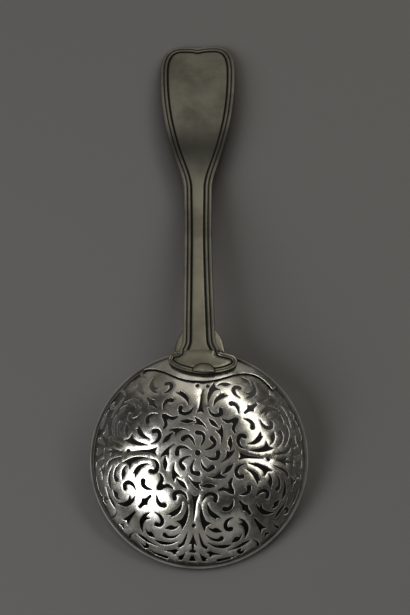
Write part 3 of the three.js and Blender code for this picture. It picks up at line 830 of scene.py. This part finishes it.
def both_sides(right_side, shift, reach):
    """A front edge from its right half, shifted across, as far out as a reach from the bowl's axis."""
    front = [(-p.x, p.y) for p in right_side[:0:-1]] + [(p.x, p.y) for p in right_side]
    return [(x + shift, y) for x, y in front if math.hypot(x + shift, y) < reach]


def arc_back(front, radius, steps):
    """The circle round the bowl's axis that leads from the front edge's right end back to its left end."""
    start_angle, end_angle = [math.atan2(point[1], point[0]) for point in (front[-1], front[0])]
    arc = [start_angle + (end_angle - start_angle) * i / steps for i in range(steps + 1)]
    return [(radius * math.cos(a), radius * math.sin(a)) for a in arc]


def collar_outline(steps=60):
    outer = bowl_radius - rim_wall * collar_on_rim_share
    front = both_sides(collar_side(), collar_shift, outer - collar_rounding)
    return front + arc_back(front, outer, steps)


collar_rows = rounded_rows(collar_rounding, 1.0, collar_rounding_steps)
collar = shaped_plate("collar", [collar_outline()], collar_thickness, collar_rows,
                      shaded_underside(collar_rows, 1.0), collar_grid)
lift_onto_dome(collar, collar_bottom + collar_thickness)
bake_place(collar, turn=ornament_turn)
hand_over(collar, "collar", "rim_frame", band_silver)

# %% [markdown]
# ## Borders of threads
#
# A thread is a half-round ridge that runs beside an edge. The handle and the heel both carry a double one, so
# their plates get rows of points at the thread's own distances from the edge. The first rows round the edge,
# then come a ridge, a groove, a second ridge and a deeper groove, and then the field. The grooves hold the
# most sulphide. An outline is drawn again with even steps first, so the ridges come out smooth.

# %% Even steps
border_overrun = 8


def evenly_spaced(outline, step):
    """A closed outline drawn again with points at an even distance."""
    points = [Vector(point) for point in outline]
    spaced, carried = [], 0.0
    for near, far in zip(points, points[1:] + points[:1]):
        length = (far - near).length
        while carried < length:
            place = near + (far - near) * (carried / length)
            spaced.append((place.x, place.y))
            carried += step
        carried -= length
    if (Vector(spaced[0]) - Vector(spaced[-1])).length < step / 2:
        spaced.pop()
    return spaced


# %% [markdown]
# ## The heel
#
# The heel is the oval thickening where the handle is soldered to the bowl. It carries the double thread round
# a plain field, and the threads run on up the stem, so its border is left open there. It follows the collar's
# dome as far as the rim, and then stays level to meet the stem.

# %% Heel outline
heel_half_width = 11.7
heel_shift = -0.7
heel_front_share = (0, 0.75)
heel_side_shares = [(0.4, 0.75), (0.95, 0.805), (1, 0.885)]
heel_rear_shares = [(1.01, 0.92), (0.95, 0.955), (0.85, 0.985)]
heel_open_middle = -2.1
heel_open_half_width = 7.0
heel_rear_steps = 40


def heel_front(steps=14):
    def placed(share):
        return (share[0] * heel_half_width, share[1] * bowl_radius)

    side = bezier([placed(heel_front_share)] + [placed(s) for s in heel_side_shares], steps)
    rear = bezier([placed(heel_side_shares[-1])] + [placed(s) for s in heel_rear_shares], steps)
    return both_sides(side + rear[1:], heel_shift, bowl_radius)


def heel_border(front, rear):
    """The heel's outline, drawn on along both sides of the stem."""
    middle, reach = heel_open_middle, heel_open_half_width
    corners = [(middle + reach, bowl_radius + border_overrun), (middle - reach, bowl_radius + border_overrun)]
    return (front + [p for p in rear if p[0] > middle + reach] + corners
            + [p for p in rear if p[0] < middle - reach])


front_edge = heel_front()
rear_edge = arc_back(front_edge, bowl_radius, heel_rear_steps)
heel_xs = [p[0] for p in front_edge]
print("heel from", round(min(heel_xs), 1), "to", round(max(heel_xs), 1), "mm across")

# %% Heel
heel_bottom = 1.4
heel_base = 0.8
heel_thread = 0.45
heel_level_radius = sheet_radius - seam
heel_level_softness = 1.2
heel_step = 0.45
heel_grid = 0.8
heel_under_rounding = 0.2
heel_under_shade = 0.8
heel_rows = [(0, -0.62, 1), (0.05, -0.34, 0.8), (0.16, -0.12, 0.2), (0.34, -0.01, 0), (0.56, -0.03, 0),
             (0.74, -0.2, 0.6), (0.84, -0.3, 1), (0.94, -0.22, 0.7), (1.06, -0.07, 0.1), (1.22, 0, 0),
             (1.38, -0.08, 0.2), (1.52, -0.3, 1), (1.64, -0.5, 1), (1.86, -0.52, 1), (2.02, -0.34, 0.9),
             (2.2, -0.14, 0.2), (2.45, -0.05, 0)]


def onto_heel(piece, lift):
    """Lifts a piece onto the dome, and onto a level place past the dome's edge."""
    for vertex in piece.data.vertices:
        x, y = vertex.co.x, vertex.co.y
        radius = math.hypot(x, y)
        past_level = (radius - heel_level_radius) / heel_level_softness
        shrink = (radius - heel_level_softness * math.log1p(math.exp(past_level))) / radius
        vertex.co.z += sheet_height(x * shrink, y * shrink) + lift


# The heel's underside is painted dark all over, as painted shade in the gap over the collar.
heel = shaped_plate("heel", [evenly_spaced(front_edge + rear_edge, heel_step)], heel_base + heel_thread,
                    heel_rows, shaded_underside(rounded_rows(heel_under_rounding, 0), heel_under_shade), heel_grid,
                    [evenly_spaced(heel_border(front_edge, rear_edge), heel_step)])
onto_heel(heel, heel_bottom + heel_base + heel_thread)
bake_place(heel, turn=ornament_turn)
hand_over(heel, "heel", "heel_plate", stem_silver)

# %% [markdown]
# ## The heel's drop
#
# In the middle of the heel's front edge stands a half-round drop, a little prouder than the threads, with
# black all round it: its foot and its underside are painted black, as sulphide and painted shade. It is a
# plate of its own, rounded far in from its edge.

# %% Heel drop
drop_front_share = 0.77
drop_half_width = 4.0
drop_length = 3.4
drop_front_length = 0.5
drop_rise = 0.9
drop_step = 0.3
drop_grid = 0.5
drop_rows = [(0, -0.45, 1), (0.15, -0.36, 1), (0.32, -0.2, 0.9), (0.46, -0.06, 0.2), (0.7, 0.03, 0),
             (1.2, 0.1, 0)]
drop_under_rows = [(0, 0, 1), (1, 0, 1)]


def drop_outline(steps=28):
    front = drop_front_share * bowl_radius
    arc = [math.pi * i / steps for i in range(2 * steps)]
    return [(drop_half_width * math.cos(a),
             front + math.sin(a) * (drop_length if a < math.pi else drop_front_length)) for a in arc]


drop = shaped_plate("heel_drop", [evenly_spaced(drop_outline(), drop_step)], drop_rise, drop_rows,
                    drop_under_rows, drop_grid)
onto_heel(drop, heel_bottom + heel_base + drop_rise)
bake_place(drop, turn=ornament_turn)
hand_over(drop, "heel_drop", "heel_plate", stem_silver)

# %% [markdown]
# ## How the handle meets the rim
#
# The handle is forged in one: a stem that narrows at its waist, a neck, and a spatula-shaped end with two
# shallow lobes. Its root is filed to fit against the side of the bowl, which is round and leans. So the
# root's end follows the rim's curve, and its end face leans with the rim's side, less and less up the stem.
# There the stem also flares and bends a little to one side.

# %% Handle root
root_y = bowl_y + bowl_radius * math.cos(rest_tilt)
end_y = spoon_length / 2
terminal_length = 66
neck_y = end_y - terminal_length
stem_length = neck_y - root_y
stem_root_shift = 0.6
root_flare_spread = 0.22
root_flare_length = 3.5
root_fit_height = 19.0
root_fit_gap = 0.05
root_end_steps = 16


def rim_side(x):
    """Where the bowl's leaning round side lies, at a place across it and at the root's height."""
    along = math.sqrt((bowl_radius + root_fit_gap) ** 2 - x * x)
    return bowl_y + along / math.cos(rest_tilt) - (root_fit_height - bowl_z) * math.tan(rest_tilt)


def root_end(half_width):
    """The end of a piece that fits the rim, from its left corner to its right one, without the corners."""
    return [(x, rim_side(x)) for x in
            [half_width * (2 * i / root_end_steps - 1) for i in range(1, root_end_steps)]]


def fit_root(piece):
    """Leans the root's end face with the bowl's side, less and less up the stem."""
    for vertex in piece.data.vertices:
        away = vertex.co.y - rim_side(0)
        share = min(1.0, max(0.0, 1 - away / root_flare_length))
        vertex.co.y -= (vertex.co.z - root_fit_height) * math.tan(rest_tilt) * share


def root_spread(y):
    """How many times wider the root is than the stem: 1 up the stem, and most at the rim."""
    share = min(1.0, max(0.0, 1 - (y - root_y) / root_flare_length))
    return 1 + root_flare_spread * share ** 2


def stem_shift(y):
    """The stem bends a little to one side towards its root."""
    return stem_root_shift * min(1.0, max(0.0, (neck_y - y) / stem_length)) ** 2


print("handle from", round(root_y, 1), "to", round(end_y, 1), "neck at", round(neck_y, 1))

# %% [markdown]
# ## The handle's outline
#
# The side starts with a few points down the flare, runs up the stem as a spline through the root, the waist
# and the neck, and goes round the end in four curves. The other side is its mirror image.

# %% Handle outline
stem_root_half_width = 5.55
stem_waist_half_width = 4.95
neck_half_width = 5.15
waist_share = 0.62
terminal_half_width = 14.1
terminal_shares = [
    [(0.4, 0.1), (0.58, 0.16), (0.75, 0.32)],
    [(0.89, 0.44), (1, 0.59), (1, 0.795)],
    [(1, 0.93), (0.82, 1), (0.43, 1)],
    [(0.25, 1), (0.09, 0.998), (0, 0.988)],
]
flare_points = 5
side_steps = 16


def handle_sides():
    knots = [(stem_root_half_width, root_y + root_flare_length),
             (stem_waist_half_width, root_y + waist_share * stem_length), (neck_half_width, neck_y)]
    side = [(stem_root_half_width * root_spread(y), y) for y in
            [rim_side(stem_root_half_width) + step for step in range(flare_points)]]
    for i in range(len(knots) - 1):
        a, b, c, d = knots[max(i - 1, 0)], knots[i], knots[i + 1], knots[min(i + 2, len(knots) - 1)]
        side += [tuple(spline_point(a, b, c, d, step / side_steps)) for step in range(1, side_steps + 1)]
    for rows in terminal_shares:
        controls = [side[-1]] + [(x * terminal_half_width, neck_y + y * terminal_length) for x, y in rows]
        side += [(p.x, p.y) for p in bezier(controls, side_steps)[1:]]
    return side + [(-x, y) for x, y in side[-2::-1]]


sides = handle_sides()
print("points along both sides:", len(sides), "widest:", round(2 * max(x for x, y in sides), 1), "mm")

# %% [markdown]
# ## The handle's heights
#
# Seen from the side, the handle falls from the heel to the neck, runs nearly level, and turns down to the
# table at its end. It is thickest at the neck and thin in the flat end. A few knots of [place along, height]
# say this, and a smooth curve runs through them.

# %% Handle heights
stem_root_height = 20.1
neck_height = 8.3
field_height = 7.4
end_height = 1.75
root_thickness = 3.4
neck_thickness = 3.8
field_thickness = 2.1
end_thickness = 2.2
field_share = 0.4
fall_share = 0.74
fall_height_share = 0.76


def smooth_height(knots, place):
    """The height at a place on a smooth curve through the knots."""
    last = len(knots) - 2
    index = next((i for i, knot in enumerate(knots) if knot[0] > place), last + 1) - 1
    index = min(max(index, 0), last)

    def slope(i):
        before, after = knots[max(i - 1, 0)], knots[min(i + 1, last + 1)]
        return (after[1] - before[1]) / (after[0] - before[0])

    (x0, h0), (x1, h1) = knots[index], knots[index + 1]
    t = (place - x0) / (x1 - x0)
    return (h0 * (2 * t ** 3 - 3 * t ** 2 + 1) + h1 * (3 * t ** 2 - 2 * t ** 3)
            + (x1 - x0) * (slope(index) * (t ** 3 - 2 * t ** 2 + t) + slope(index + 1) * (t ** 3 - t ** 2)))


top_knots = [(root_y, stem_root_height), (root_y + stem_length / 2, (stem_root_height + neck_height) / 2),
             (neck_y, neck_height), (neck_y + field_share * terminal_length, field_height),
             (neck_y + fall_share * terminal_length, fall_height_share * field_height), (end_y, end_height)]
thickness_knots = [(root_y, root_thickness), (neck_y, neck_thickness),
                   (neck_y + field_share * terminal_length, field_thickness), (end_y, end_thickness)]
print("height at half the stem:", round(smooth_height(top_knots, root_y + stem_length / 2), 1), "mm")

# %% [markdown]
# ## The handle's body
#
# The plate is drawn flat, bordered with threads, and then bent: every point takes the height of the handle at
# its place, and points of the lower face also take its thickness. Use has polished the stem. The end is
# darkened evenly from the neck on, and the hollow just past the neck is painted darker still, as painted
# shade.

# %% Handle body
flat_thickness = 2.0
handle_step = 0.6
handle_grid = 1.4
terminal_darkening = 0.38
neck_painted_shade = 0.85
neck_shade_place = 17
neck_darkening_reach = 14
# Rows of [distance, height, patina and shade]: the edge and the grooves hold sulphide, and the ridge tops are
# darkened a quarter as painted shade.
thread_rows = [(0, -0.62, 0.95), (0.05, -0.36, 0.7), (0.18, -0.12, 0.45), (0.42, -0.01, 0.25),
               (0.72, 0, 0.25), (1.0, -0.1, 0.5), (1.2, -0.32, 1), (1.36, -0.42, 1), (1.5, -0.3, 0.9),
               (1.66, -0.1, 0.45), (1.9, 0, 0.25), (2.15, -0.02, 0.3), (2.34, -0.14, 0.7), (2.5, -0.4, 1),
               (2.75, -0.56, 1), (3.0, -0.52, 1), (3.2, -0.43, 0.7), (3.35, -0.39, 0.1), (3.5, -0.38, 0)]
handle_under_rows = [(0, 0.62, 0.5), (0.06, 0.4, 0.3), (0.22, 0.2, 0), (0.5, 0.06, 0), (0.9, 0, 0)]

(right_x, right_y), (left_x, left_y) = sides[0], sides[-1]
past_root = [(left_x, left_y - border_overrun), (right_x, right_y - border_overrun)]
handle = shaped_plate("handle_body", [evenly_spaced(sides + root_end(right_x), handle_step)], flat_thickness,
                      thread_rows, handle_under_rows, handle_grid,
                      [evenly_spaced(sides + past_root, handle_step)])
for vertex, patina_and_shade in zip(handle.data.vertices, handle.data.attributes["patina_and_shade"].data):
    x, y, z = vertex.co
    if z < -flat_thickness / 2:
        z += flat_thickness - smooth_height(thickness_knots, y)
    vertex.co = (x + stem_shift(y), y, max(z + smooth_height(top_knots, y), 0.0))
    # A band of painted shade in the hollow just past the neck, and an even darkening of the end.
    past_neck = (y - neck_y - neck_shade_place) / neck_darkening_reach
    terminal_share = min(1.0, max(0.0, (y - neck_y) / neck_darkening_reach))
    patina_and_shade.value = max(patina_and_shade.value, neck_painted_shade * math.exp(-past_neck ** 2),
                       terminal_darkening * terminal_share)
fit_root(handle)
bake_place(handle, leaning=False)
hand_over(handle, "handle_body", "handle", stem_silver)

# %% [markdown]
# ## The shoulders at the root
#
# Beside the root of the stem, two low rounded shoulders run out from under it onto the rim. They were left by
# the solderer as a fillet, a little lower than the stem. One half-round plate under the stem makes both.

# %% Root shoulders
shoulder_half_width = 8.6
shoulder_length = 12.5
shoulder_thickness = 1.6
shoulder_lift = 0.3
shoulder_step = 0.6
shoulder_grid = 1.2
shoulder_under_shade = 0.5
shoulder_rows = [(0, -0.5, 0.5), (0.1, -0.25, 0.2), (0.35, -0.06, 0), (0.8, 0, 0)]


def shoulder_outline(steps=36):
    start = rim_side(shoulder_half_width)
    curve = [(shoulder_half_width * math.cos(a), start + shoulder_length * math.sin(a))
             for a in [math.pi * i / steps for i in range(steps + 1)]]
    return curve + root_end(shoulder_half_width)


# The shoulders' underside is painted half dark all over, as painted shade under the stem.
shoulders = shaped_plate("root_shoulders", [evenly_spaced(shoulder_outline(), shoulder_step)],
                         shoulder_thickness, shoulder_rows, shaded_underside(shoulder_rows, shoulder_under_shade),
                         shoulder_grid)
for vertex in shoulders.data.vertices:
    stem_bottom = smooth_height(top_knots, vertex.co.y) - root_thickness
    vertex.co.z += stem_bottom + shoulder_thickness + shoulder_lift
    vertex.co.x += stem_root_shift
fit_root(shoulders)
bake_place(shoulders, leaning=False)
hand_over(shoulders, "root_shoulders", "handle", stem_silver)

# %% [markdown]
# ## The floor
#
# The spoon lies on plain matt paper, which takes its shadow. Under the bowl hardly any light gets in, neither
# from the sides nor through the holes, so the paper there should be nearly black. Soft light from all round
# alone leaves that place grey, so shade is also painted into the paper's colour: it is darkened by how closed
# in it is, within a few centimetres, down to black.

# %% Floor
floor_side = 6.0
shade_reach_mm = 30
full_shade = 0.3
no_shade = 0.72

bpy.ops.object.select_all(action="DESELECT")
bpy.ops.mesh.primitive_plane_add(size=floor_side, location=(0, 0, 0))
floor = bpy.context.object
floor.name = "studio_floor"
floor_material = bpy.data.materials.new("matt paper sweep")
floor_material.use_nodes = True
floor_shader = floor_material.node_tree.nodes["Principled BSDF"]
# Painted shade: the paper's colour falls to black where ambient occlusion finds it closed in.
open_sky = add_node(floor_material, "ShaderNodeAmbientOcclusion", {"samples": 8}, {
    "Distance": shade_reach_mm * MM})
light_left = add_node(floor_material, "ShaderNodeMapRange", inputs={
    "Value": open_sky.outputs["AO"], "From Min": full_shade, "From Max": no_shade,
    "To Min": 0.0, "To Max": 1.0})
paper_and_painted_shade = add_node(floor_material, "ShaderNodeMix", {"data_type": "RGBA"}, {
    "Factor": light_left.outputs["Result"]})
paper_and_painted_shade.inputs[MIX_FIRST].default_value = linear("#000000")
paper_and_painted_shade.inputs[MIX_SECOND].default_value = linear("#62605d")
floor_material.node_tree.links.new(paper_and_painted_shade.outputs[MIX_RESULT], floor_shader.inputs["Base Color"])
floor_shader.inputs["Roughness"].default_value = 0.9
floor_shader.inputs["Specular IOR Level"].default_value = 0.2
floor.data.materials.append(floor_material)
print("floor:", floor_side, "m wide, shaded within", shade_reach_mm, "mm of the spoon")

# %% [markdown]
# ## The room and its lamps
#
# Polished silver shows what is round it, so the lamps matter more than the metal's colour. A large soft
# window stands at the left in front and gives the brightest lobe, and a narrow one stands at the right
# behind. Two dim lamps behind, one above the other, are the wall that the collar and the stem reflect. One
# overhead and one in front fill in the rest. All else is a dim room, so each lobe turns bright or dark as a
# whole.

# %% Room and lamps
lamp_aim = Vector((0, -0.06, 0))

world = bpy.data.worlds.new("dim_room")
world.use_nodes = True
room = world.node_tree.nodes["Background"]
room.inputs["Color"].default_value = linear("#8a8a88")
room.inputs["Strength"].default_value = 0.12
bpy.context.scene.world = world


def soft_lamp(name, direction, distance, size, watts, colour="#ffffff"):
    bpy.ops.object.select_all(action="DESELECT")
    bpy.ops.object.light_add(type="AREA")
    lamp = bpy.context.object
    lamp.name = name
    towards_lamp = Vector(direction).normalized()
    lamp.rotation_euler = towards_lamp.to_track_quat("Z", "Y").to_euler()
    lamp.location = lamp_aim + towards_lamp * distance
    lamp.data.shape = "RECTANGLE"
    lamp.data.size, lamp.data.size_y = size
    lamp.data.energy = watts
    lamp.data.color = linear(colour)[:3]
    print(name, "of", watts, "W at", distance, "m")


soft_lamp("window_left_front", (-0.66, -0.4, 0.64), 0.9, (0.62, 0.62), 7.2, "#f9fbff")
soft_lamp("window_right_back", (0.58, 0.36, 0.73), 0.8, (0.95, 0.26), 2.7, "#fffefa")
soft_lamp("wall_behind", (0.05, 0.78, 0.62), 1.1, (0.7, 0.65), 0.75, "#fffaf0")
soft_lamp("wall_behind_low", (-0.1, 0.95, 0.3), 1.1, (1.5, 0.5), 0.5, "#fffaf0")
soft_lamp("ceiling", (0, 0, 1), 1.1, (0.9, 0.9), 0.35)
soft_lamp("wall_in_front", (0, -0.94, 0.34), 1.1, (1.4, 0.6), 0.7)
bpy.context.scene.view_settings.view_transform = "Standard"
